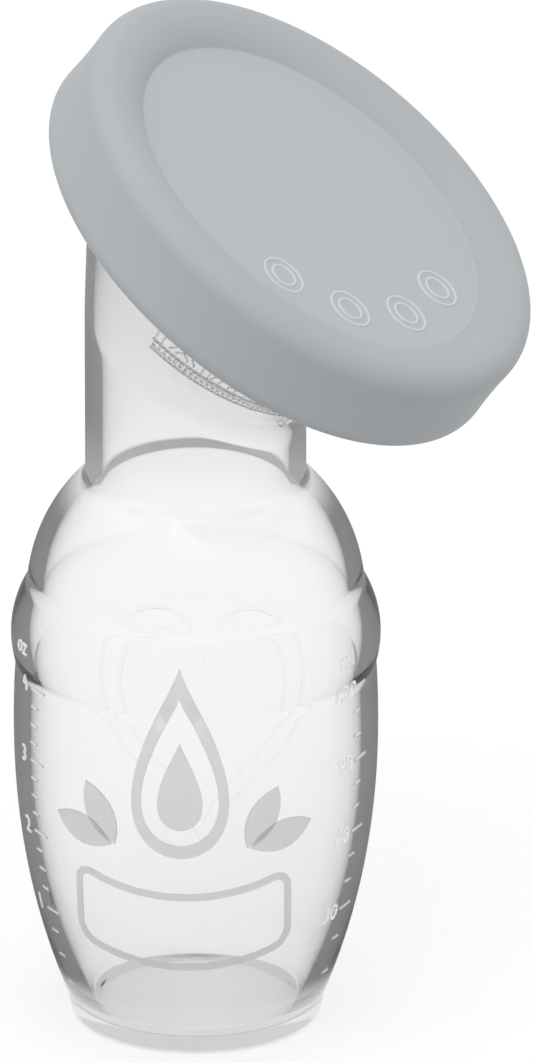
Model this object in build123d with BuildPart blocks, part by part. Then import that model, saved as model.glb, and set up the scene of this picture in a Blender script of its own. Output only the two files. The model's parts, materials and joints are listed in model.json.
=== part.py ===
from build123d import *

import math
import os

# A silicone suction pump with its stretch-on lid, in millimetres. +Z runs up the bulb's axis from the
# middle of the foot's underside, and the funnel leans towards +X.

# foot
foot_radius = 20.6
foot_flare = 0.9  # how much wider the foot is at its top
foot_height = 4.0
foot_edge = 0.7  # rounding of the standing edge
floor_thickness = 2.0
floor_round = 3.0  # rounding where the floor meets the wall inside
heel = 1.7  # how much thicker than elsewhere the wall is at the floor

# bulb
wall = 2.8  # of the bulb, the shoulder and the neck
bulb_radius = 30.2  # at its widest
widest_height = 51.0
belly_step = 3.6  # how much narrower the bulb is where it turns from cone to barrel
belly_height = 20.0

# raised ring round the top of the bulb
ring_base = 62.5
ring_height = 14.0
ring_crest = 6.0  # height of its widest place above its base
ring_bulge = 0.35  # how far it stands out past the bulb
ring_dip = 0.35  # depth of the groove under it
ledge_step = 2.3  # how much narrower the bulb is where the shoulder springs from the ring
crease_round = 0.8

# shoulder and neck
shoulder_overreach = 1.2  # the shoulder's arc is centred this far past the axis
shoulder_sink = 2.7  # and this far below the top of the ring
neck_radius = 18.25
neck_length = 22.3  # from the shoulder up the axis to the funnel
neck_blend = 1.0  # rounding where the neck leaves the shoulder
neck_blend_inside = 3.0

# funnel and flange
mitre_tilt = 24.0  # degrees that the funnel's root leans, were it not rounded in
blend_drop = 4.2  # how far below that root the rounding starts
blend_tilt = 29.5  # degrees
blend_reach = 0.26  # share of the funnel's side that the rounding takes
blend_steps = 5
funnel_lift = 2.4  # how much higher the inside leaves the neck than the outside
flange_tilt = 37.0  # degrees
flange_offset = 18.9  # from the neck's axis to the flange's centre
flange_rise = 26.8  # from the funnel's root up to the flange's centre
flange_radius = 40.0
flange_edge = 2.5  # thickness of the flange's edge
flange_lip = 2.6  # width of the flat face round the mouth
flange_round = 0.6

# lid, with heights measured from the flange's face
lid_seat_gap = 0.2  # underside to flange
lid_fit_gap = 0.3  # skirt to flange's edge
skirt_thickness = 3.4
skirt_depth = 11.4
skirt_waist = 0.4  # how far its side bows in
skirt_outer_round = 2.6
skirt_inner_round = 0.4
panel_thickness = 2.2
panel_blend = 3.0
rim_height = 5.3
rim_width = 5.1  # from the lid's side to where the rim starts to slope down
rim_slope = 5.6  # width of that slope
rim_outer_round = 3.4
rim_inner_round = 1.5

ring_top = ring_base + ring_height
ledge_radius = bulb_radius - ledge_step
shoulder_x = -shoulder_overreach
shoulder_z = ring_top - shoulder_sink
shoulder_arc = math.dist((shoulder_x, shoulder_z), (ledge_radius, ring_top))


def on_shoulder(radius, inset):
    # the point of the shoulder's arc, set in by inset, that lies at a radius from the bulb's axis
    return radius, shoulder_z + math.sqrt((shoulder_arc - inset) ** 2 - (radius - shoulder_x) ** 2)


mitre_height = on_shoulder(neck_radius, 0)[1] + neck_length
neck_top = mitre_height + 2 * neck_radius  # above every cut that the funnel makes
flange_lean = math.radians(flange_tilt)
flange = Plane(
    origin=(flange_offset, 0, mitre_height + flange_rise),
    x_dir=(math.cos(flange_lean), 0, -math.sin(flange_lean)),
    z_dir=(math.sin(flange_lean), 0, math.cos(flange_lean)),
)


def corner(section, point):
    return section.vertices().sort_by_distance((*point, 0))[0]


def body_outline(base, inset, base_round, neck_round):
    # half section of bulb, ring, shoulder and neck on a given base, its skin set in by inset
    skin_radius = bulb_radius - inset
    belly = (skin_radius - belly_step, belly_height)
    widest = (skin_radius, widest_height)
    dip = (skin_radius - ring_dip, ring_base)
    crest = (skin_radius + ring_bulge, ring_base + ring_crest)
    ledge = (ledge_radius - inset, ring_top)
    shoulder = on_shoulder((ledge_radius + neck_radius) / 2 - inset, inset)
    neck_foot = on_shoulder(neck_radius - inset, inset)
    with BuildSketch() as section:
        with BuildLine():
            Polyline((0, neck_top), (0, base[0][1]), *base)
            Spline(base[-1], belly, widest, dip)
            ThreePointArc(dip, crest, ledge)
            ThreePointArc(ledge, shoulder, neck_foot)
            Polyline(neck_foot, (neck_foot[0], neck_top), (0, neck_top))
        make_face()
        fillet(corner(section, base[0]), base_round)
        fillet(corner(section, dip), crease_round)
        fillet(corner(section, ledge), crease_round)
        fillet(corner(section, neck_foot), neck_round)
    return section.sketch


def neck_cut(radius, height, tilt):
    # the ellipse in which a leaning plane cuts the neck: its centre, its long half and its half width
    drop = radius * math.tan(math.radians(tilt))
    return Vector(0, 0, height), Vector(radius, 0, -drop), radius


def between(start, end, share):
    return tuple(a * (1 - share) + b * share for a, b in zip(start, end))


def ellipse_plane(ellipse):
    centre, long_half, _ = ellipse
    return Plane(origin=centre, x_dir=long_half, z_dir=long_half.cross(Vector(0, 1, 0)))


def funnel_sections(radius, lift, mouth_plane, mouth):
    # ellipses from the straight neck, round the blend and on to the mouth
    start = neck_cut(radius, mitre_height - blend_drop + lift, blend_tilt)
    turn = neck_cut(radius, mitre_height + lift, mitre_tilt)
    rim = (mouth_plane.origin, mouth_plane.x_dir * mouth, mouth)
    leave = between(turn, rim, blend_reach)
    shares = [step / blend_steps for step in range(blend_steps + 1)]
    blend = [between(between(start, turn, share), between(turn, leave, share), share) for share in shares]
    return blend + [rim]


def turned_and_funnelled(outline, sections):
    # the outline turned about the bulb's axis, cut where the funnel starts and carried on to its mouth
    with BuildPart() as form:
        with BuildSketch(Plane.XZ):
            add(outline)
        revolve(axis=Axis.Z)
        split(bisect_by=ellipse_plane(sections[0]), keep=Keep.BOTTOM)
        for section in sections:
            with BuildSketch(ellipse_plane(section)):
                Ellipse(section[1].length, section[2])
        loft(ruled=True)
    return form.part


def lid_outline():
    # half section of the lid
    inside = flange_radius + lid_fit_gap
    outside = inside + skirt_thickness
    panel_top = lid_seat_gap + panel_thickness
    skirt_end = (inside, -skirt_depth)
    skirt_edge = (outside, -skirt_depth)
    waist = (outside - skirt_waist, (rim_height - skirt_depth) / 2)
    rim_edge = (outside, rim_height)
    rim_crest = (outside - rim_width, rim_height)
    panel_edge = (outside - rim_width - rim_slope, panel_top)
    with BuildSketch() as section:
        with BuildLine():
            Polyline((0, panel_top), (0, lid_seat_gap), (inside, lid_seat_gap), skirt_end, skirt_edge)
            ThreePointArc(skirt_edge, waist, rim_edge)
            Polyline(rim_edge, rim_crest, panel_edge, (0, panel_top))
        make_face()
        fillet(corner(section, skirt_end), skirt_inner_round)
        fillet(corner(section, skirt_edge), skirt_outer_round)
        fillet(corner(section, rim_edge), rim_outer_round)
        fillet(corner(section, rim_crest), rim_inner_round)
        fillet(corner(section, panel_edge), panel_blend)
    return section.sketch


# the pump is one hollow moulding: foot, bulb, ring, shoulder, neck, funnel and flange
foot_top = (foot_radius + foot_flare, foot_height)
outside = turned_and_funnelled(
    body_outline([(foot_radius, 0), foot_top], 0, foot_edge, neck_blend),
    funnel_sections(neck_radius, 0, flange.offset(-flange_edge), flange_radius),
)
inner_floor = (foot_top[0] - wall - heel, floor_thickness)
inside = turned_and_funnelled(
    body_outline([inner_floor], wall, floor_round, neck_blend_inside),
    funnel_sections(neck_radius - wall, funnel_lift, flange, flange_radius - flange_lip),
)
with BuildPart() as pump_body:
    add(outside)
    with BuildSketch(flange):
        Circle(flange_radius)
    extrude(amount=-flange_edge)
    add(inside, mode=Mode.SUBTRACT)
    rim_circles = pump_body.edges().filter_by(GeomType.CIRCLE).filter_by(
        lambda edge: abs(edge.radius - flange_radius) < flange_edge / 10
    )
    fillet(rim_circles.sort_by_distance(flange.origin)[0], flange_round)
pump_body.part.label = "pump_body"

# the lid is one moulding too, turned about the flange's axis
with BuildPart() as lid:
    with BuildSketch(Plane(origin=flange.origin, x_dir=flange.x_dir, z_dir=(0, -1, 0))):
        add(lid_outline())
    revolve(axis=Axis(flange.origin, flange.z_dir))
lid.part.label = "lid"

os.makedirs("parts", exist_ok=True)
for piece in (pump_body, lid):
    export_step(piece.part, f"parts/{piece.part.label}.step")

print(f"pump_body {pump_body.part.volume:.0f} mm3, lid {lid.part.volume:.0f} mm3")
print(f"flange centre {tuple(round(c, 2) for c in flange.origin)}, neck's root at {mitre_height:.2f}")
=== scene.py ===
import json
import math

import bmesh
import bpy
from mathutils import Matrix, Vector


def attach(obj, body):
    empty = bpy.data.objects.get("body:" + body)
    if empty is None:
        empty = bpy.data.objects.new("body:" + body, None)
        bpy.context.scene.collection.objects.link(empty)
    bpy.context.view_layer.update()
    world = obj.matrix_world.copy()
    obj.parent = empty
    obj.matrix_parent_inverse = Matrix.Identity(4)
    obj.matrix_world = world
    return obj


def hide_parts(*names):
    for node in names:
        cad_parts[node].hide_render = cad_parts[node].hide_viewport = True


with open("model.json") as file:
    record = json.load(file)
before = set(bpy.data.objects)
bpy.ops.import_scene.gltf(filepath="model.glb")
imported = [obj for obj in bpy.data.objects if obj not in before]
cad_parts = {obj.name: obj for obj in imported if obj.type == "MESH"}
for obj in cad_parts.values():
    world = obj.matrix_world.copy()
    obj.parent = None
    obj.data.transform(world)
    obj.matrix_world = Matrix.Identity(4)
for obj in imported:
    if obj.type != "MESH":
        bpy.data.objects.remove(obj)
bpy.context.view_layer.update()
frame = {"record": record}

mm = 0.001
axisGap = 0.5  # mm from an axis to where turned sections start; a small fan closes that hole
sharpAngle = 40.0  # degrees past which an edge of the meshes is shaded crisp
mounts = {mount["name"]: mount for mount in frame["record"]["mounts"]}
flangeCentre = Vector(mounts["flange_mouth"]["pos_m"]) / mm
flangeAxis = Vector(mounts["flange_mouth"]["axis"])
sideways = Vector((0, 1, 0))
flangeDown = sideways.cross(flangeAxis)  # in the flange's face, towards its lower end


def cutBack(line, reach):
    # the line without its last stretch of this length
    line = list(line)
    while (line[-1] - line[-2]).length < reach:
        reach -= (line[-1] - line[-2]).length
        line.pop()
    line[-1] = line[-1].lerp(line[-2], reach / (line[-1] - line[-2]).length)
    return line


def rounded(runs, reaches, steps=8):
    # one line through all runs, with each corner between two of them rounded from its reach on
    line = list(runs[0])
    for run, reach in zip(runs[1:], reaches):
        corner = run[0]
        line = cutBack(line, reach)
        after = cutBack(run[::-1], reach)[::-1]
        turn = (corner - line[-1]).angle(after[0] - corner)
        handle = 4 / 3 * math.tan(turn / 4) / math.tan(turn / 2)  # near enough to an arc
        start, end = line[-1], after[0]
        first, second = start.lerp(corner, handle), end.lerp(corner, handle)
        for step in range(1, steps):
            t = step / steps
            line.append(start * (1 - t) ** 3 + first * 3 * t * (1 - t) ** 2
                        + second * 3 * t * t * (1 - t) + end * t ** 3)
        line += after
    return line


def straight(start, end, steps):
    # a straight run in equal steps
    return [Vector(start).lerp(Vector(end), step / steps) for step in range(steps + 1)]


def arcThrough(start, middle, end, steps):
    # points of the circle's arc that passes three points
    a, b, c = Vector(start), Vector(middle), Vector(end)
    d = 2 * (a.x * (b.y - c.y) + b.x * (c.y - a.y) + c.x * (a.y - b.y))
    centre = Vector((
        (a.length_squared * (b.y - c.y) + b.length_squared * (c.y - a.y)
         + c.length_squared * (a.y - b.y)) / d,
        (a.length_squared * (c.x - b.x) + b.length_squared * (a.x - c.x)
         + c.length_squared * (b.x - a.x)) / d))
    first, last = a - centre, c - centre
    sweep = first.angle_signed(last)
    return [centre + Vector((
        first.x * math.cos(turn) + first.y * math.sin(turn),
        first.y * math.cos(turn) - first.x * math.sin(turn)))
        for turn in (sweep * step / steps for step in range(steps + 1))]


def skin(mesh, rows, endless=False):
    # quads over rows of points in mm that each run round; loose ends close on their middle
    made = [[mesh.verts.new(point * mm) for point in row] for row in rows]
    for low, high in zip(made, made[1:] + made[:1] if endless else made[1:]):
        for side in range(len(low)):
            after = (side + 1) % len(low)
            mesh.faces.new((low[side], low[after], high[after], high[side]))
    for row in [] if endless else (made[0], made[-1]):
        middle = mesh.verts.new(sum((vert.co for vert in row), Vector()) / len(row))
        for side in range(len(row)):
            mesh.faces.new((row[side], row[(side + 1) % len(row)], middle))


def finishPiece(name, mesh, material, body, stoodFor=None):
    bmesh.ops.recalc_face_normals(mesh, faces=mesh.faces)
    for face in mesh.faces:
        face.smooth = True
    data = bpy.data.meshes.new(name)
    mesh.to_mesh(data)
    mesh.free()
    data.set_sharp_from_angle(angle=math.radians(sharpAngle))  # keeps the small marks' sides crisp
    piece = bpy.data.objects.new(name, data)
    bpy.context.scene.collection.objects.link(piece)
    data.materials.append(material)
    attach(piece, body)
    if stoodFor:
        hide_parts(stoodFor)
    print("made", name, len(data.vertices), "points")
    return piece


def linear(hexCode):
    # an sRGB hex colour as the linear colour that shaders take
    parts = [int(hexCode[i:i + 2], 16) / 255 for i in (0, 2, 4)]
    return tuple(c / 12.92 if c <= 0.04045 else ((c + 0.055) / 1.055) ** 2.4 for c in parts) + (1,)


def addNode(tree, kind, inputs=None, **settings):
    # a node with its settings, and its inputs as values or as the outputs that feed them
    node = tree.nodes.new(kind)
    for name, value in settings.items():
        setattr(node, name, value)
    for name, value in (inputs or {}).items():
        if isinstance(value, bpy.types.NodeSocket):
            tree.links.new(value, node.inputs[name])
        else:
            node.inputs[name].default_value = value
    return node


def startMaterial(name):
    material = bpy.data.materials.new(name)
    material.use_nodes = True
    material.node_tree.nodes.clear()
    return material, material.node_tree


siliconeIor = 1.41  # typical of the clear and the grey kind


def mouldedClearSilicone():
    # clear liquid silicone off a polished mould: glassy; its rims and thick edges are painted
    # grey, a painted shade in its inner reflections, and it passes a little less white towards the
    # foot and up the neck
    look = {
        # pairs of heights in mm: where a change starts and ends; a third number is its end value
        "through": "FEFEFE", "greyer": "F9F9F9",  # what one pass through the skin leaves of white
        # the second colour, towards the foot and up the neck, passes a little less white
        "greyerFoot": (30.0, 8.0, 0.6), "greyerNeck": (94.0, 108.0),
        "shadedMirror": "8C8E8F", "paleMirror": "F2F2F2", "mirrorRoughness": 0.02,  # inside the wall; the dark grey is painted shade, lifted to pale in places
        "level": (0.5, 0.8),  # how far up or down a wall faces where the painted shade fades out
        "paleFoot": (10.0, 5.0), "paleOverShoulder": (89.0, 93.0),
        "paleUpNeck": (98.0, 106.0, 0.07), "paleNeckRoot": 0.24,
        "mirrorsDim": 2.5, "mirrorsEnd": 2.5,  # turns after which the painted shade stops dimming light, and light stops turning
        "shadow": "F6F6F6",  # what a wall leaves of the light that goes straight on
        "waver": 9.0, "waverDepth": 0.02, "waverStrength": 0.12,  # slow waves of the polished skin
    }
    material, tree = startMaterial("moulded clear silicone")
    place = addNode(tree, "ShaderNodeTexCoord").outputs["Object"]
    waver = addNode(tree, "ShaderNodeTexNoise", {
        "Vector": place, "Scale": 1 / (look["waver"] * mm), "Detail": 1.0})
    bump = addNode(tree, "ShaderNodeBump", {
        "Strength": look["waverStrength"], "Distance": look["waverDepth"] * mm,
        "Height": waver.outputs["Fac"]})
    facing = addNode(tree, "ShaderNodeSeparateXYZ", {
        0: addNode(tree, "ShaderNodeTexCoord").outputs["Normal"]})
    facingUp = addNode(tree, "ShaderNodeMath", {0: facing.outputs["Z"]}, operation="ABSOLUTE")
    level = addNode(tree, "ShaderNodeMapRange", {
        "Value": facingUp.outputs[0], "From Min": look["level"][0], "From Max": look["level"][1]},
        interpolation_type="SMOOTHSTEP")
    height = addNode(tree, "ShaderNodeSeparateXYZ", {0: place}).outputs["Z"]
    start, end = look["paleFoot"]
    foot = addNode(tree, "ShaderNodeMapRange", {  # the painted shade stays off the thick foot
        "Value": height, "From Min": start * mm, "From Max": end * mm})
    start, end = look["paleOverShoulder"]
    overShoulder = addNode(tree, "ShaderNodeMapRange", {  # and, in part, off the thick root of the neck
        "Value": height, "From Min": start * mm, "From Max": end * mm,
        "To Max": look["paleNeckRoot"]})
    start, end, least = look["paleUpNeck"]
    upNeck = addNode(tree, "ShaderNodeMapRange", {
        "Value": height, "From Min": start * mm, "From Max": end * mm,
        "To Min": look["paleNeckRoot"], "To Max": least})
    neckRoot = addNode(tree, "ShaderNodeMath", {0: overShoulder.outputs[0], 1: upNeck.outputs[0]},
                       operation="MINIMUM")
    # the skin is drawn a little greyer towards the foot and up the neck
    start, end, most = look["greyerFoot"]
    greyerFoot = addNode(tree, "ShaderNodeMapRange", {
        "Value": height, "From Min": start * mm, "From Max": end * mm, "To Max": most})
    start, end = look["greyerNeck"]
    greyerNeck = addNode(tree, "ShaderNodeMapRange", {
        "Value": height, "From Min": start * mm, "From Max": end * mm})
    greying = addNode(tree, "ShaderNodeMath", {0: greyerFoot.outputs[0], 1: greyerNeck.outputs[0]},
                    operation="MAXIMUM")
    through = addNode(tree, "ShaderNodeMix", {
        "Factor": greying.outputs[0], "A": linear(look["through"]), "B": linear(look["greyer"])},
        data_type="RGBA")
    lightPath = addNode(tree, "ShaderNodeLightPath")
    deep = addNode(tree, "ShaderNodeMath", {
        0: lightPath.outputs["Ray Depth"], 1: look["mirrorsDim"]}, operation="GREATER_THAN")
    thick = addNode(tree, "ShaderNodeMath", {0: foot.outputs[0], 1: neckRoot.outputs[0]},
                    operation="MAXIMUM")
    paleParts = addNode(tree, "ShaderNodeMath", {0: level.outputs[0], 1: thick.outputs[0]},
                        operation="MAXIMUM")
    pale = addNode(tree, "ShaderNodeMath", {0: paleParts.outputs[0], 1: deep.outputs[0]},
                   operation="MAXIMUM")
    # painted shade: the inner reflections are tinted dark grey, and pale where the masks above
    # lift that shade
    shadedMirror = addNode(tree, "ShaderNodeMix", {
        "Factor": pale.outputs[0], "A": linear(look["shadedMirror"]), "B": linear(look["paleMirror"])},
        data_type="RGBA")
    fresnel = addNode(tree, "ShaderNodeFresnel", {"IOR": siliconeIor, "Normal": bump.outputs[0]})
    bent = addNode(tree, "ShaderNodeBsdfRefraction", {
        "Color": through.outputs["Result"], "IOR": siliconeIor, "Roughness": 0.0,
        "Normal": bump.outputs[0]})
    mirrored = addNode(tree, "ShaderNodeBsdfGlossy", {
        "Color": shadedMirror.outputs["Result"], "Roughness": look["mirrorRoughness"],
        "Normal": bump.outputs[0]})
    glass = addNode(tree, "ShaderNodeMixShader", {
        0: fresnel.outputs[0], 1: bent.outputs[0], 2: mirrored.outputs[0]})
    unbent = addNode(tree, "ShaderNodeBsdfTransparent", {"Color": linear(look["shadow"])})
    ended = addNode(tree, "ShaderNodeMath", {
        0: lightPath.outputs["Glossy Depth"], 1: look["mirrorsEnd"]}, operation="GREATER_THAN")
    straightOn = addNode(tree, "ShaderNodeMath", {
        0: lightPath.outputs["Is Shadow Ray"], 1: ended.outputs[0]}, operation="MAXIMUM")
    surface = addNode(tree, "ShaderNodeMixShader", {
        0: straightOn.outputs[0], 1: glass.outputs[0], 2: unbent.outputs[0]})
    addNode(tree, "ShaderNodeOutputMaterial", {"Surface": surface.outputs[0]})
    return material


def frostedClearSilicone(name, look):
    # the same silicone where the mould was blasted: its raised marks scatter light and look milky
    material, tree = startMaterial(name)
    place = addNode(tree, "ShaderNodeTexCoord").outputs["Object"]
    grain = addNode(tree, "ShaderNodeTexNoise", {
        "Vector": place, "Scale": 1 / (look["grain"] * mm), "Detail": 2.0})
    bump = addNode(tree, "ShaderNodeBump", {
        "Strength": look["bump"], "Distance": look["pit"] * mm, "Height": grain.outputs["Fac"]})
    surface = addNode(tree, "ShaderNodeBsdfPrincipled", {
        "Base Color": linear(look["colour"]), "Roughness": look["roughness"], "IOR": siliconeIor,
        "Transmission Weight": look["clear"], "Normal": bump.outputs[0]})
    addNode(tree, "ShaderNodeOutputMaterial", {"Surface": surface.outputs[0]})
    return material


greyFinish = {
    "roughness": 0.6, "sheen": 0.12, "sheenRoughness": 0.4,
    "pit": 0.03, "bump": 0.35,  # depth of the mould's texture in mm, and how much of it shows
}


def mouldedGreySilicone(name, look):
    # pigmented silicone off a spark-eroded mould: soft, matte, slightly dusty at grazing angles
    material, tree = startMaterial(name)
    place = addNode(tree, "ShaderNodeTexCoord").outputs["Object"]
    cloud = addNode(tree, "ShaderNodeTexNoise", {
        "Vector": place, "Scale": 1 / (look["cloud"] * mm), "Detail": 3.0})
    colour = addNode(tree, "ShaderNodeMix", {
        "Factor": cloud.outputs["Fac"], "A": linear(look["colour"]), "B": linear(look["shade"])},
        data_type="RGBA")
    grain = addNode(tree, "ShaderNodeTexNoise", {
        "Vector": place, "Scale": 1 / (look["grain"] * mm), "Detail": 3.0})
    bump = addNode(tree, "ShaderNodeBump", {
        "Strength": greyFinish["bump"], "Distance": greyFinish["pit"] * mm,
        "Height": grain.outputs["Fac"]})
    surface = addNode(tree, "ShaderNodeBsdfPrincipled", {
        "Base Color": colour.outputs["Result"], "Roughness": greyFinish["roughness"],
        "IOR": siliconeIor, "Sheen Weight": greyFinish["sheen"],
        "Sheen Roughness": greyFinish["sheenRoughness"], "Normal": bump.outputs[0]})
    addNode(tree, "ShaderNodeOutputMaterial", {"Surface": surface.outputs[0]})
    return material


# grain is in mm; real grit leaves pits of 0.05 to 0.1, too fine to show, so it is drawn coarser
clearSilicone = mouldedClearSilicone()
frostedSilicone = frostedClearSilicone("sandblasted clear silicone", {
    "colour": "F2F3F4", "grain": 0.25, "pit": 0.02, "bump": 0.25, "roughness": 0.45,
    "clear": 0.76})
brightSilicone = frostedClearSilicone("bead blasted clear silicone", {  # finer, whiter, clearer
    "colour": "FFFFFF", "grain": 0.2, "pit": 0.02, "bump": 0.25, "roughness": 0.3,
    "clear": 0.86})
# lit and shaded copies of one grey: the rim and skirt are painted darker, as shade
shadedGreySilicone = mouldedGreySilicone("moulded grey silicone", {
    "colour": "B8BCBF", "shade": "B3B7BA", "cloud": 26.0, "grain": 0.35})
litPanelSilicone = mouldedGreySilicone("fine moulded grey silicone with painted light", {  # painted light: paler than the rim, as if the panel caught more light
    "colour": "C0C4C7", "shade": "BCC0C3", "cloud": 26.0, "grain": 0.3})
highlitGreySilicone = mouldedGreySilicone("grey silicone with painted highlight", {  # raised marks, painted the palest, as a highlight
    "colour": "DADDDF", "shade": "D4D7D9", "cloud": 6.0, "grain": 0.2})

pump = {
    # millimetres; pairs are a radius and a height
    "sides": 192, "bulbSteps": 48, "arcSteps": 28, "neckSteps": 10, "funnelSteps": 60,
    "wall": 2.8,
    "footRadius": 20.6, "footTop": (21.5, 4.0), "footRound": 0.7, "footCrease": 1.0,
    "floorTop": 2.0, "floorRound": 3.0, "heel": 1.7,
    "belly": (26.6, 20.0), "widest": (30.2, 51.0), "dip": (29.85, 62.5),
    "crest": (30.55, 68.5), "ledge": (27.9, 76.5),
    "creaseRound": 0.9,
    "shoulderCentre": (-1.2, 73.8),
    "neckRadius": 18.25, "neckRound": 1.1, "neckRoundInside": 3.4, "neckStraight": 101.5,
    "rootHeight": 117.91, "rootTilt": 24.0,
    "blendDrop": 4.2, "blendTilt": 29.5, "blendReach": 0.26, "insideLift": 2.4,
    "bend": 0.3,  # share of the funnel's rows that the rounding into it takes
    "flangeRadius": 40.0, "flangeEdge": 2.5, "flangeLip": 2.6,
    "flangeRounds": (0.3, 0.6, 0.3),  # behind its edge, in front, and inside the lip
}
shoulderArc = math.dist(pump["shoulderCentre"], pump["ledge"])


def onShoulder(radius, inset):
    # the point of the shoulder's arc, set in by inset, at this radius from the bulb's axis
    centreX, centreZ = pump["shoulderCentre"]
    rise = math.sqrt((shoulderArc - inset) ** 2 - (radius - centreX) ** 2)
    return Vector((radius, centreZ + rise))


def bulbRadius(height, start=pump["footTop"], inset=0.0):
    # the bulb's smooth side, which passes its start, belly, widest place and the ring's groove
    points = [start] + [(pump[name][0] - inset, pump[name][1])
                        for name in ("belly", "widest", "dip")]
    radius = 0
    for i, (share, z) in enumerate(points):
        for j, (_, other) in enumerate(points):
            if i != j:
                share *= (height - other) / (z - other)
        radius += share
    return radius


def bodyLine(start, inset):
    # from a start on the foot or the floor up over ring and shoulder to the straight neck
    def inward(name):
        return pump[name][0] - inset, pump[name][1]

    low, high, steps = start[1], pump["dip"][1], pump["bulbSteps"]
    bulb = [Vector((bulbRadius(z, start, inset), z))
            for z in (low + (high - low) * step / steps for step in range(steps + 1))]
    ring = arcThrough(inward("dip"), inward("crest"), inward("ledge"), pump["arcSteps"])
    footOfNeck = onShoulder(pump["neckRadius"] - inset, inset)
    ledgeRadius = pump["ledge"][0]
    middle = onShoulder((ledgeRadius + pump["neckRadius"]) / 2 - inset, inset)
    shoulder = arcThrough(inward("ledge"), middle, footOfNeck, pump["arcSteps"])
    neck = straight(footOfNeck, (footOfNeck.x, pump["neckStraight"]), 6)
    return [bulb, ring, shoulder, neck]


turns = [2 * math.pi * side / pump["sides"] for side in range(pump["sides"])]


def turned(line):
    # rows of points round the bulb's axis
    return [[Vector((point.x * math.cos(turn), point.x * math.sin(turn), point.y))
             for turn in turns] for point in line]


def ellipse(section):
    # a row of points round a section: its centre, its long half and its half width
    centre, longHalf, halfWidth = section
    return [centre + longHalf * math.cos(turn) + sideways * halfWidth * math.sin(turn)
            for turn in turns]


def neckCut(radius, height, tilt):
    # the ellipse in which a leaning plane cuts the neck
    longHalf = Vector((radius, 0, -radius * math.tan(math.radians(tilt))))
    return Vector((0, 0, height)), longHalf, radius


def mixed(start, end, share):
    # the section between two, at this share of the way
    return tuple(a * (1 - share) + b * share for a, b in zip(start, end))


def funnelCuts(inset, lift, mouthDepth, mouthRadius):
    # where the funnel starts, turns and ends
    radius = pump["neckRadius"] - inset
    start = neckCut(radius, pump["rootHeight"] - pump["blendDrop"] + lift, pump["blendTilt"])
    turn = neckCut(radius, pump["rootHeight"] + lift, pump["rootTilt"])
    rim = (flangeCentre - flangeAxis * mouthDepth, flangeDown * mouthRadius, mouthRadius)
    return start, turn, rim


def funnelSection(cuts, share):
    # share 0 is where the neck starts to lean and 1 is the mouth
    start, turn, rim = cuts
    leave = mixed(turn, rim, pump["blendReach"])
    bend = pump["bend"]
    if share < bend:
        t = share / bend
        return mixed(mixed(start, turn, t), mixed(turn, leave, t), t)
    return mixed(leave, rim, (share - bend) / (1 - bend))


def flangeRow(point):
    # a ring in the flange: its radius, and its height over the flange's face
    return ellipse((flangeCentre + flangeAxis * point.y, flangeDown * point.x, point.x))


outsideCuts = funnelCuts(0, 0, pump["flangeEdge"], pump["flangeRadius"])
insideCuts = funnelCuts(pump["wall"], pump["insideLift"], 0,
                        pump["flangeRadius"] - pump["flangeLip"])


def neckAndFunnel(lastRow, cuts):
    # rows that lean more and more from the straight neck, then open to the mouth
    start, neckSteps, funnelSteps = ellipse(cuts[0]), pump["neckSteps"], pump["funnelSteps"]
    rows = [[low.lerp(high, step / neckSteps) for low, high in zip(lastRow, start)]
            for step in range(1, neckSteps)]
    return rows + [ellipse(funnelSection(cuts, step / funnelSteps)) for step in range(funnelSteps)]


def bodyLines():
    # the section of the skin outside and inside, from the foot to the straight neck
    top = Vector(pump["footTop"])
    foot = [straight((axisGap, 0), (pump["footRadius"], 0), 6),
            straight((pump["footRadius"], 0), top, 3)]
    crease = pump["creaseRound"]
    outLine = rounded(foot + bodyLine(pump["footTop"], 0),
                      [pump["footRound"], pump["footCrease"], crease, crease, pump["neckRound"]])
    floorEdge = (top.x - pump["wall"] - pump["heel"], pump["floorTop"])
    floor = straight((axisGap, floorEdge[1]), floorEdge, 6)
    inLine = rounded([floor] + bodyLine(floorEdge, pump["wall"]),
                     [pump["floorRound"], crease, crease, pump["neckRoundInside"]])
    return outLine, inLine


outLine, inLine = bodyLines()


def makePumpBody():
    outside, inside = turned(outLine), turned(inLine)
    outside += neckAndFunnel(outside[-1], outsideCuts)
    inside += neckAndFunnel(inside[-1], insideCuts)
    edge, lip = pump["flangeRadius"], pump["flangeRadius"] - pump["flangeLip"]
    back = -pump["flangeEdge"]
    rim = rounded([  # short ends along the funnel's outside and inside let its edges round off too
        straight((edge - 0.4, back - 0.2), (edge, back), 1),
        straight((edge, back), (edge, 0), 2),
        straight((edge, 0), (lip, 0), 2),
        straight((lip, 0), (lip - 0.3, -0.4), 1)], pump["flangeRounds"])
    mesh = bmesh.new()
    skin(mesh, outside + [flangeRow(point) for point in rim] + inside[::-1])
    return finishPiece("pump_skin", mesh, clearSilicone, "pump", "pump_body")


makePumpBody()

relief = {
    # for every raised mark that has none of its own
    "sink": 0.08,  # mm that its foot sits in the surface that carries it
    "crown": 0.4,  # share of a ridge's width that is flat
    "bevel": 0.75,  # how high the middle of a ridge's side stands, as a share of its height
}


def ridge(mesh, place, path, width, height, endless=False, sink=relief["sink"],
          crown=relief["crown"]):
    # a low ridge along a path over a surface
    edge, flat = (0.5 + crown / 2) / 2, crown * 0.47
    bevel = height * relief["bevel"]
    section = ((-0.5, -sink), (-edge, bevel), (-crown / 2, height), (-flat, height),
               (flat, height), (crown / 2, height), (edge, bevel), (0.5, -sink))
    rows = []
    for i, point in enumerate(path):
        before = path[i - 1] if endless or i else point
        after = path[(i + 1) % len(path)] if endless or i < len(path) - 1 else point
        along = (after - before).normalized() * width
        rows.append([place(point.x - along.y * share, point.y + along.x * share, lift)
                     for share, lift in section])
    skin(mesh, rows, endless)


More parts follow.
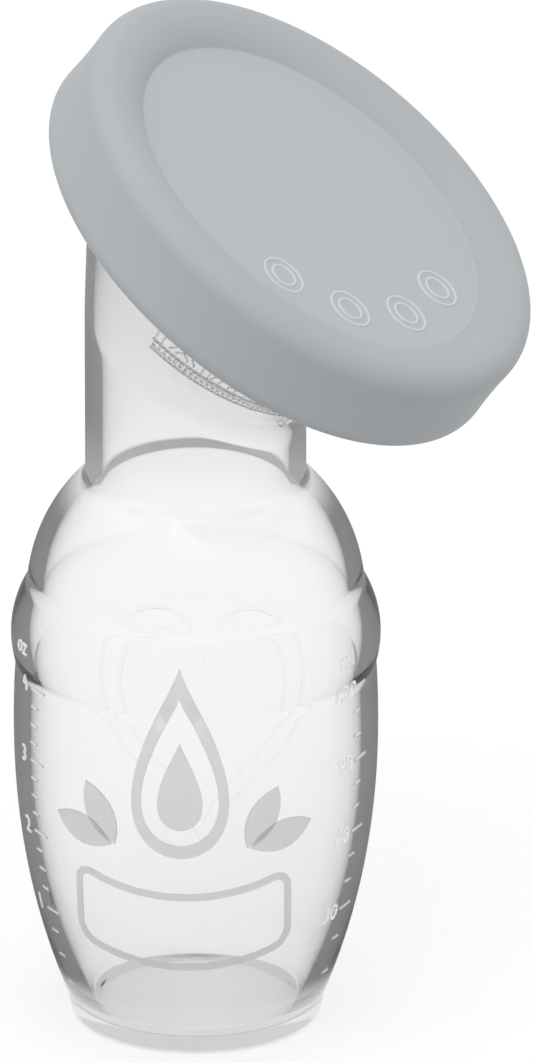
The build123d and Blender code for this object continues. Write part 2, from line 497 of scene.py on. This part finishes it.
def hoop(mesh, place, outer, inner, height, sink):
    # a low flat-topped band between two outlines
    section = ((0, -sink), (0.04, height), (0.5, height), (0.96, height), (1, -sink))
    skin(mesh, [[place(*a.lerp(b, share), lift) for share, lift in section]
                for a, b in zip(outer, inner)], True)


def pad(mesh, place, outline, height):
    # a low flat pad inside an outline
    middle = sum(outline, Vector((0, 0))) / len(outline)
    sink = -relief["sink"]
    section = ((0.1, height), (0.4, height), (0.7, height), (0.93, height), (0.98, height * 0.8),
               (1, sink), (0.5, sink), (0.1, sink))
    skin(mesh, [[place(*middle.lerp(point, share), lift) for point in outline]
                for share, lift in section])


def ringPath(x, y, radius, steps):
    # a circle about a point
    return [Vector((x + radius * math.cos(2 * math.pi * step / steps),
                    y + radius * math.sin(2 * math.pi * step / steps))) for step in range(steps)]


def leafPath(root, tip, width, steps=7):
    # a pointed leaf from root to tip
    root, tip = Vector(root), Vector(tip)
    side = Vector((root.y - tip.y, tip.x - root.x)).normalized() * width / 2
    shares = [step / steps for step in range(steps + 1)]
    bulge = [math.sin(math.pi * share) ** 0.8 for share in shares]  # a little fuller than a sine
    there = [root.lerp(tip, share) + side * out for share, out in zip(shares, bulge)]
    back = [root.lerp(tip, share) - side * out for share, out in zip(shares, bulge)]
    return there + back[-2:0:-1]


def skinRadius(height):
    # the outer skin's radius at a height, past the foot
    for low, high in zip(outLine, outLine[1:]):
        if low.y <= height < high.y:
            return low.x + (high.x - low.x) * (height - low.y) / (high.y - low.y)


def onBulb(azimuth):
    # places marks on the bulb: across is to the right as seen from outside, at this azimuth
    def place(across, height, lift):
        radius = skinRadius(height)
        turn = math.radians(azimuth - 90) + across / radius
        return Vector(((radius + lift) * math.cos(turn), (radius + lift) * math.sin(turn), height))
    return place


frontMark = {
    "azimuth": 17.0, "height": 0.08, "sink": 0.03, "crown": 0.9,
    "drop": {"middle": 55.5, "width": 23.0, "tall": 34.0,
             "line": 2.4, "shift": 1.44, "tip": 7.68},  # the outline is wider at the tip
    "inner": {"size": 0.46, "down": 0.12},  # shares of the drop
    "band": {"middle": 28.0, "width": 37.0, "tall": 13.5, "sag": 3.5, "line": 1.4, "corner": 2.8},
    "leaf": {"length": 12.0, "width": 5.4, "down": 0.46,
             "pair": ((62, 11.2), (16, 11.8))},  # each by its lean in degrees and its root's place
}


def dropPath(middle, width, tall, steps=96):
    # a milk drop with its point up, which the power pinches
    path = []
    for step in range(steps):
        turn = 2 * math.pi * step / steps
        path.append(Vector((width / 2 * math.sin(turn) * math.sin(turn / 2) ** 1.4,
                            middle + tall / 2 * math.cos(turn))))
    return path


def bandPath(band):
    # a blank band whose middle sags, with round corners
    halfWidth, halfTall, corner = band["width"] / 2, band["tall"] / 2, band["corner"]
    flat = []
    for side, (x, y) in enumerate(((1, 1), (-1, 1), (-1, -1), (1, -1))):
        for step in range(5):
            turn = math.pi / 2 * (side + step / 4)
            flat.append(Vector((x * (halfWidth - corner) + corner * math.cos(turn),
                                y * (halfTall - corner) + corner * math.sin(turn))))
    path = []
    for i, point in enumerate(flat):  # in pieces of about 1.2 mm, so that it bends with the bulb
        after = flat[(i + 1) % len(flat)]
        pieces = max(1, round((after - point).length / 1.2))
        path += [point.lerp(after, step / pieces) for step in range(pieces)]
    return [Vector((p.x, band["middle"] + p.y - band["sag"] * (1 - (p.x / halfWidth) ** 2)))
            for p in path]


def makeFrontMark():
    place, high = onBulb(frontMark["azimuth"]), frontMark["height"]
    drop, inner, band, leaf = (frontMark[part] for part in ("drop", "inner", "band", "leaf"))
    mesh = bmesh.new()
    hoop(mesh, place, dropPath(drop["middle"], drop["width"], drop["tall"]),
         dropPath(drop["middle"] - drop["shift"], drop["width"] - 2 * drop["line"],
                  drop["tall"] - drop["tip"]), high, frontMark["sink"])
    low = drop["middle"] - drop["tall"] * inner["down"]
    pad(mesh, place, dropPath(low, drop["width"] * inner["size"], drop["tall"] * inner["size"]),
        high)
    ridge(mesh, place, bandPath(band), band["line"], high, True, frontMark["sink"],
          frontMark["crown"])
    for side in (-1, 1):  # two leaves on each side between drop and band
        for lean, out in leaf["pair"]:
            root = Vector((side * out, drop["middle"] - drop["tall"] * leaf["down"]))
            turn = math.radians(lean)
            tip = root + Vector((side * math.cos(turn), math.sin(turn))) * leaf["length"]
            pad(mesh, place, leafPath(root, tip, leaf["width"]), high)
    return finishPiece("front_mark", mesh, frostedSilicone, "pump")


backHeart = {
    "azimuth": 199.5, "middle": 39.0, "width": 41.0, "tall": 44.0,
    "sizes": (1, 0.8),  # a heart in a heart
    "line": 0.9, "height": 0.08, "sink": 0.006,
}


def heartPath(width, tall, middle, steps=240):
    # the usual heart curve, 29 units tall, whose middle is 2.5 units low
    path = []
    for step in range(steps):
        t = 2 * math.pi * step / steps
        x = math.sin(t) ** 3
        y = 13 * math.cos(t) - 5 * math.cos(2 * t) - 2 * math.cos(3 * t) - math.cos(4 * t)
        path.append(Vector((width / 2 * x, middle + tall * (y + 2.5) / 29)))
    return path


def makeBackHeart():
    place = onBulb(backHeart["azimuth"])
    mesh = bmesh.new()
    for share in backHeart["sizes"]:
        outer, inner = [heartPath(backHeart["width"] * share - thinner,
                                  backHeart["tall"] * share - thinner, backHeart["middle"])
                        for thinner in (0, 2 * backHeart["line"])]
        hoop(mesh, place, outer, inner, backHeart["height"], backHeart["sink"])
    return finishPiece("back_heart", mesh, clearSilicone, "pump")


def fillHeight(millilitres):
    # how high that much milk stands inside
    volume = 0
    for low, high in zip(inLine, inLine[1:]):
        tall = high.y - low.y
        layer = math.pi / 3 * tall * (low.x ** 2 + low.x * high.x + high.x ** 2) / 1000
        if volume + layer > millilitres:
            return low.y + tall * (millilitres - volume) / layer
        volume += layer


scales = {
    # each by its azimuth, the millilitres from number to number, and the ticks that share them
    "ounce_scale": {"azimuth": -42.0, "step": 29.57, "numbers": (1, 2, 3, 4), "between": 4,
                    "unit": "oz"},
    "millilitre_scale": {"azimuth": 82.0, "step": 30.0, "numbers": (30, 60, 90, 120), "between": 3,
                         "unit": "ml"},
}
scaleMarks = {
    "size": 4.2, "textAt": -2.8,  # how tall the numbers are, and their middle's place by the ticks
    "line": 0.5, "long": 4.0, "short": 2.0, "height": 0.22,
    "unitHeight": 69.0,
}


def addText(mesh, place, text, height):
    # a plain number or unit, bent onto the bulb
    curve = bpy.data.curves.new("number", "FONT")
    curve.body, curve.size, curve.resolution_u = text, scaleMarks["size"], 3
    curve.align_x, curve.align_y = "CENTER", "CENTER"
    curve.extrude = 1  # any depth: it only tells the front from the back
    holder = bpy.data.objects.new("number", curve)
    flat = bpy.data.meshes.new_from_object(holder)
    for vert in flat.vertices:
        lift = scaleMarks["height"] if vert.co.z > 0 else -relief["sink"]
        vert.co = place(scaleMarks["textAt"] + vert.co.x, height + vert.co.y, lift) * mm
    mesh.from_mesh(flat)
    bpy.data.objects.remove(holder)
    bpy.data.curves.remove(curve)
    bpy.data.meshes.remove(flat)


def makeScale(name):
    scale = scales[name]
    place, high = onBulb(scale["azimuth"]), scaleMarks["height"]
    mesh = bmesh.new()
    for count, number in enumerate(scale["numbers"]):
        for mark in range(scale["between"]):
            height = fillHeight(scale["step"] * (count + 1 - mark / scale["between"]))
            tick = straight((0, height), (scaleMarks["short" if mark else "long"], height), 4)
            ridge(mesh, place, tick, scaleMarks["line"], high)
            if not mark:
                addText(mesh, place, str(number), height)
    addText(mesh, place, scale["unit"], scaleMarks["unitHeight"])
    return finishPiece(name, mesh, brightSilicone, "pump")


lace = {
    # raised lace under the funnel: turns are from its lowest line, depths below the flange's face
    "first": -98.0, "scallops": 8, "scallopTurn": 24.5, "radius": 25.0,
    "height": 0.28, "line": 0.36,
    "braidDepth": 23.4, "braidWidth": 2.6, "leavesPerScallop": 10,
    "leafWidth": 0.6, "leafLean": 0.9, "leafRoot": 0.12, "leafReach": 0.42,
    "arcDepth": 21.4, "arcTop": 14.4, "arcs": (0.94, 0.7),  # sizes of the nested arcs
    "chevrons": (0.42, 0.2), "chevronPoint": 1.5, "chevronFoot": 21.0,
    "ringDepth": 26.9, "rings": (1.9, 0.855), "ringAt": (3, 5),  # radii, and their scallops
}


def onFunnel(turn, depth, lift):
    # places marks on the funnel, by the turn round it in degrees and the depth below its flange
    angle = math.radians(turn)
    across = sideways * math.sin(angle)

    def at(section, step=0.0):
        centre, longHalf, halfWidth = section
        return (centre + longHalf * math.cos(angle + step)
                + sideways * halfWidth * math.sin(angle + step))

    def depthOf(point):
        return (flangeCentre - point).dot(flangeAxis)

    low, high = 0.0, 1.0
    for _ in range(16):  # halves the range until it has found the depth
        middle = (low + high) / 2
        if depthOf(at(funnelSection(outsideCuts, middle))) > depth:
            low = middle
        else:
            high = middle
    section = funnelSection(outsideCuts, low)
    point = at(section)
    around = at(section, 0.01) - point
    onward = at(funnelSection(outsideCuts, low + 0.01)) - point
    return point + around.cross(onward).normalized() * lift


def makeLace():
    perTurn = lace["radius"] * math.pi / 180
    start, width = lace["first"] * perTurn, lace["scallopTurn"] * perTurn
    whole = width * lace["scallops"]
    high, line = lace["height"], lace["line"]

    def place(across, depth, lift):
        return onFunnel(across / perTurn, depth, lift)

    mesh = bmesh.new()
    braid, arcDepth = lace["braidDepth"], lace["arcDepth"]
    for side in (-0.5, 0.5):  # the braid's two borders
        depth = braid + side * lace["braidWidth"]
        ridge(mesh, place, straight((start, depth), (start + whole, depth), 90), line, high)
    leaves = lace["scallops"] * lace["leavesPerScallop"]
    for leaf in range(leaves):
        across = start + whole * (leaf + 0.2) / leaves
        for side in (-1, 1):
            root = (across, braid + side * lace["leafRoot"])
            tip = (across + lace["leafLean"],
                   braid + side * lace["braidWidth"] * lace["leafReach"])
            pad(mesh, place, leafPath(root, tip, lace["leafWidth"], 4), high)
    reach, arcSteps = arcDepth - lace["arcTop"], 14
    for scallop in range(lace["scallops"]):
        middle = start + width * (scallop + 0.5)
        for share in lace["arcs"]:  # nested arcs that hang towards the flange
            arc = [Vector((middle + width / 2 * share * math.cos(math.pi * step / arcSteps),
                           arcDepth - reach * share * math.sin(math.pi * step / arcSteps)))
                   for step in range(arcSteps + 1)]
            ridge(mesh, place, arc, line, high)
        for share in lace["chevrons"]:
            tip = (middle, arcDepth - reach * share * lace["chevronPoint"])
            for side in (-1, 1):
                foot = (middle + side * width * share / 2, lace["chevronFoot"])
                ridge(mesh, place, straight(foot, tip, 4), line, high)
    for scallop in lace["ringAt"]:
        for radius in lace["rings"]:  # below the braid
            ridge(mesh, place, ringPath(start + width * scallop, lace["ringDepth"], radius, 20),
                  line, high, True)
    return finishPiece("funnel_lace", mesh, brightSilicone, "pump")


makeFrontMark()
makeBackHeart()
for name in scales:
    makeScale(name)
makeLace()

lid = {
    # millimetres from the flange's face and axis
    "seatGap": 0.2, "inside": 40.3, "thickness": 3.4,
    "skirtDepth": 11.4, "skirtWaist": 0.4,
    "panelThickness": 2.2,
    "rimHeight": 5.3, "rimWidth": 5.1, "rimSlope": 5.6,
    "slopeSwell": 0.6,  # how far the slope from panel to rim bows out
    "rounds": {"panel": 0.35, "rimInner": 0.8, "rimOuter": 3.9, "skirtOuter": 2.8,
               "skirtInner": 0.4, "seat": 0.3},
}


def makeLid():
    inside, seat, rim, depth = (lid[part]
                                for part in ("inside", "seatGap", "rimHeight", "skirtDepth"))
    outside, panelTop = inside + lid["thickness"], seat + lid["panelThickness"]
    crest = (outside - lid["rimWidth"], rim)
    panelEdge = (crest[0] - lid["rimSlope"], panelTop)
    waist = (outside - lid["skirtWaist"], (rim - depth) / 2)
    rise = rim - panelTop
    out = Vector((rise, -lid["rimSlope"])).normalized() * -lid["slopeSwell"]
    swell = ((crest[0] + panelEdge[0]) / 2 + out.x, (crest[1] + panelEdge[1]) / 2 + out.y)
    line = rounded([
        straight((axisGap, panelTop), panelEdge, 10),
        arcThrough(panelEdge, swell, crest, 14),
        straight(crest, (outside, rim), 2),
        arcThrough((outside, rim), waist, (outside, -depth), 20),
        straight((outside, -depth), (inside, -depth), 3),
        straight((inside, -depth), (inside, seat), 6),
        straight((inside, seat), (axisGap, seat), 8),
    ], lid["rounds"].values(), steps=10)
    mesh = bmesh.new()
    skin(mesh, [flangeRow(point) for point in line])
    piece = finishPiece("lid_skin", mesh, shadedGreySilicone, "cover", "lid")
    piece.data.materials.append(litPanelSilicone)
    for face in piece.data.polygons:  # the panel is inside the slope's foot; it takes the copy painted paler, as light
        middle = face.center / mm - flangeCentre
        out = (middle - flangeAxis * middle.dot(flangeAxis)).length
        if middle.dot(flangeAxis) > lid["panelThickness"] and out < panelEdge[0]:
            face.material_index = 1
    return piece


makeLid()

lidRings = {
    # pairs of rings along a circle on the panel, by their turns in degrees
    "radius": 25.8, "first": -75.0, "step": 29.4, "count": 4,
    "rings": (3.7, 2.2), "line": 0.55, "height": 0.22,
}


def makeLidRings():
    panelTop = lid["seatGap"] + lid["panelThickness"]

    def place(down, across, lift):
        return (flangeCentre + flangeAxis * (panelTop + lift) + flangeDown * down
                + sideways * across)

    mesh = bmesh.new()
    for count in range(lidRings["count"]):
        turn = math.radians(lidRings["first"] + lidRings["step"] * count)
        down, across = lidRings["radius"] * math.cos(turn), lidRings["radius"] * math.sin(turn)
        for radius in lidRings["rings"]:
            ridge(mesh, place, ringPath(down, across, radius, 40), lidRings["line"],
                  lidRings["height"], True)
    return finishPiece("lid_rings", mesh, highlitGreySilicone, "cover")


makeLidRings()

studio = {
    "floorSize": 6.0, "floorGap": 0.15,  # metres across, and millimetres below the foot
    "floorColour": "C8C8C8", "white": "FFFFFF",
    "cameraGlow": 0.5,  # lifts the pale floor to white without adding any light
    "ambient": 0.76,
}


def rayMask(tree):
    # 1 for rays from the camera, and for what mirrors and clear pieces show
    lightPath = addNode(tree, "ShaderNodeLightPath")
    seen = addNode(tree, "ShaderNodeMath", {
        0: lightPath.outputs["Is Camera Ray"], 1: lightPath.outputs["Is Glossy Ray"]},
        operation="MAXIMUM")
    return addNode(tree, "ShaderNodeMath", {
        0: seen.outputs[0], 1: lightPath.outputs["Is Transmission Ray"]},
        operation="MAXIMUM").outputs[0]


def makeWorld():
    world = bpy.data.worlds.new("studio")
    world.use_nodes = True
    tree = world.node_tree
    tree.nodes.clear()
    strength = addNode(tree, "ShaderNodeMapRange", {
        "Value": rayMask(tree), "To Min": studio["ambient"], "To Max": 1.0})
    light = addNode(tree, "ShaderNodeBackground", {
        "Color": linear(studio["white"]), "Strength": strength.outputs[0]})
    addNode(tree, "ShaderNodeOutputWorld", {"Surface": light.outputs[0]})
    bpy.context.scene.world = world


def makeFloor():
    material, tree = startMaterial("pale paper sweep")
    paper = addNode(tree, "ShaderNodeBsdfDiffuse", {"Color": linear(studio["floorColour"])})
    strength = addNode(tree, "ShaderNodeMath", {0: rayMask(tree), 1: studio["cameraGlow"]},
                       operation="MULTIPLY")
    glow = addNode(tree, "ShaderNodeEmission", {
        "Color": linear(studio["white"]), "Strength": strength.outputs[0]})
    surface = addNode(tree, "ShaderNodeAddShader", {0: paper.outputs[0], 1: glow.outputs[0]})
    addNode(tree, "ShaderNodeOutputMaterial", {"Surface": surface.outputs[0]})
    half, low = studio["floorSize"] / 2, -studio["floorGap"] * mm
    data = bpy.data.meshes.new("floor")
    corners = [(-half, -half, low), (half, -half, low), (half, half, low), (-half, half, low)]
    data.from_pydata(corners, [], [(0, 1, 2, 3)])
    floor = bpy.data.objects.new("floor", data)
    bpy.context.scene.collection.objects.link(floor)
    data.materials.append(material)


shot = {
    "azimuth": 22.0, "elevation": 21.5,
    "lens": 800.0, "sensor": 36.0,  # long enough to see it almost without perspective
    "clip": (0.1, 60),  # metres
    "frameHeight": 175.4,
    "aim": (11.68, 78.95),  # across and up from the foot's centre to the middle of the view
    "depth": 34.0,  # from the foot's centre to the object's middle, towards the camera
}


def towards(azimuth, elevation):
    # the direction from the object to something at these angles in degrees
    turn, rise = math.radians(azimuth), math.radians(elevation)
    return Vector((math.sin(turn) * math.cos(rise), -math.cos(turn) * math.cos(rise),
                   math.sin(rise)))


def makeCamera():
    turn = math.radians(shot["azimuth"])
    right = Vector((math.cos(turn), math.sin(turn), 0))
    back = towards(shot["azimuth"], shot["elevation"])
    up = back.cross(right)
    data = bpy.data.cameras.new("camera")
    data.lens, data.sensor_width = shot["lens"], shot["sensor"]
    distance = shot["frameHeight"] * shot["lens"] / shot["sensor"]
    data.clip_start, data.clip_end = shot["clip"]
    camera = bpy.data.objects.new("camera", data)
    across, height = shot["aim"]
    camera.location = (right * across + up * height + back * (shot["depth"] + distance)) * mm
    camera.rotation_mode = "QUATERNION"
    camera.rotation_quaternion = back.to_track_quat("Z", "Y")
    bpy.context.scene.collection.objects.link(camera)
    bpy.context.scene.camera = camera


lamps = {
    # big soft boxes, each by its turn from the camera, height angle, distance, size and watts
    "keyBox": {"turn": -5, "rise": 60, "away": 1.3, "size": (0.8, 0.8), "power": 4.0},
    "fillBox": {"turn": -65, "rise": 30, "away": 1.5, "size": (0.9, 1.2), "power": 1.6},
}
lampAim = Vector((8, 0, 90)) * mm  # about the object's middle


def makeLamps():
    for name, box in lamps.items():
        back = towards(shot["azimuth"] + box["turn"], box["rise"])
        data = bpy.data.lights.new(name, "AREA")
        data.shape = "RECTANGLE"
        data.size, data.size_y = box["size"]
        data.energy = box["power"]
        lamp = bpy.data.objects.new(name, data)
        lamp.location = lampAim + back * box["away"]
        lamp.rotation_mode = "QUATERNION"
        lamp.rotation_quaternion = back.to_track_quat("Z", "Y")
        lamp.visible_glossy = False  # the clear walls mirror the bright room, not the boxes
        bpy.context.scene.collection.objects.link(lamp)


makeWorld()
makeFloor()
makeCamera()
makeLamps()
bpy.context.scene.view_settings.view_transform = "Standard"
print("stage set")
